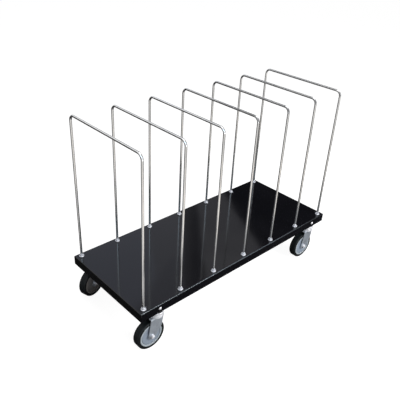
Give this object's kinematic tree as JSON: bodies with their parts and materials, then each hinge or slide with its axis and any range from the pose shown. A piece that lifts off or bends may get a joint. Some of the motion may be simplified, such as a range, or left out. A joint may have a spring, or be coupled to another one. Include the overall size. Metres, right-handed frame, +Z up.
{
  "type": "carton cart",
  "caption": "Low wheeled deck with a row of upright rod hoops that keep cartons standing on edge, rolling on a swivel caster at each corner.",
  "frame": {"origin": "on the floor, below the centre of the deck", "axes": "+X along the deck's length to the right-hand end, +Y across the deck to the rear long side, +Z up"},
  "size_m": [1.1262, 0.4684, 0.8255],
  "materials": {
    "deck_paint": "gloss black powder coat",
    "rod_chrome": "bright plated",
    "bright_steel": "bright zinc plated",
    "zinc_steel": "zinc plated",
    "fork_zinc": "satin zinc plated",
    "hub_grey": "satin grey",
    "tyre_black": "satin black"
  },
  "bodies": {
    "cart": {"deck": "deck_paint", "channel_left": "deck_paint", "channel_right": "deck_paint", "divider_1": "rod_chrome", "divider_2": "rod_chrome", "divider_3": "rod_chrome", "divider_4": "rod_chrome", "divider_5": "rod_chrome", "divider_6": "rod_chrome", "divider_7": "rod_chrome", "divider_top_nuts": "bright_steel", "divider_bottom_nuts": "zinc_steel", "skirt_bolts": "bright_steel", "skirt_nuts": "zinc_steel", "stem_nuts": "zinc_steel", "stem_washers": "zinc_steel", "swivel_balls": "bright_steel", "swivel_washers": "zinc_steel", "kingpin_left_front": "zinc_steel", "upper_race_left_front": "bright_steel", "kingpin_right_front": "zinc_steel", "upper_race_right_front": "bright_steel", "kingpin_left_rear": "zinc_steel", "upper_race_left_rear": "bright_steel", "kingpin_right_rear": "zinc_steel", "upper_race_right_rear": "bright_steel"},
    "caster_left_front": {"lower_race_left_front": "bright_steel", "fork_left_front": "fork_zinc", "axle_bolt_left_front": "bright_steel", "axle_nut_left_front": "bright_steel", "sleeve_left_front": "zinc_steel"},
    "wheel_left_front": {"hub_left_front": "hub_grey", "tyre_left_front": "tyre_black"},
    "caster_right_front": {"lower_race_right_front": "bright_steel", "fork_right_front": "fork_zinc", "axle_bolt_right_front": "bright_steel", "axle_nut_right_front": "bright_steel", "sleeve_right_front": "zinc_steel"},
    "wheel_right_front": {"hub_right_front": "hub_grey", "tyre_right_front": "tyre_black"},
    "caster_left_rear": {"lower_race_left_rear": "bright_steel", "fork_left_rear": "fork_zinc", "axle_bolt_left_rear": "bright_steel", "axle_nut_left_rear": "bright_steel", "sleeve_left_rear": "zinc_steel"},
    "wheel_left_rear": {"hub_left_rear": "hub_grey", "tyre_left_rear": "tyre_black"},
    "caster_right_rear": {"lower_race_right_rear": "bright_steel", "fork_right_rear": "fork_zinc", "axle_bolt_right_rear": "bright_steel", "axle_nut_right_rear": "bright_steel", "sleeve_right_rear": "zinc_steel"},
    "wheel_right_rear": {"hub_right_rear": "hub_grey", "tyre_right_rear": "tyre_black"}
  },
  "joints": [
    {"name": "swivel_left_front", "type": "hinge", "parent": "cart", "child": "caster_left_front", "pos_m": [-0.4699, -0.2032, 0.14], "axis": [0, 0, 1], "continuous": true},
    {"name": "roll_left_front", "type": "hinge", "parent": "caster_left_front", "child": "wheel_left_front", "pos_m": [-0.5039, -0.2032, 0.0635], "axis": [0, 1, 0], "continuous": true},
    {"name": "swivel_right_front", "type": "hinge", "parent": "cart", "child": "caster_right_front", "pos_m": [0.4699, -0.2032, 0.14], "axis": [0, 0, 1], "continuous": true},
    {"name": "roll_right_front", "type": "hinge", "parent": "caster_right_front", "child": "wheel_right_front", "pos_m": [0.4359, -0.2032, 0.0635], "axis": [0, 1, 0], "continuous": true},
    {"name": "swivel_left_rear", "type": "hinge", "parent": "cart", "child": "caster_left_rear", "pos_m": [-0.4699, 0.2032, 0.14], "axis": [0, 0, 1], "continuous": true},
    {"name": "roll_left_rear", "type": "hinge", "parent": "caster_left_rear", "child": "wheel_left_rear", "pos_m": [-0.50274, 0.1944, 0.0635], "axis": [-0.2588, 0.9659, 0], "continuous": true},
    {"name": "swivel_right_rear", "type": "hinge", "parent": "cart", "child": "caster_right_rear", "pos_m": [0.4699, 0.2032, 0.14], "axis": [0, 0, 1], "continuous": true},
    {"name": "roll_right_rear", "type": "hinge", "parent": "caster_right_rear", "child": "wheel_right_rear", "pos_m": [0.4359, 0.2032, 0.0635], "axis": [0, 1, 0], "continuous": true}
  ]
}
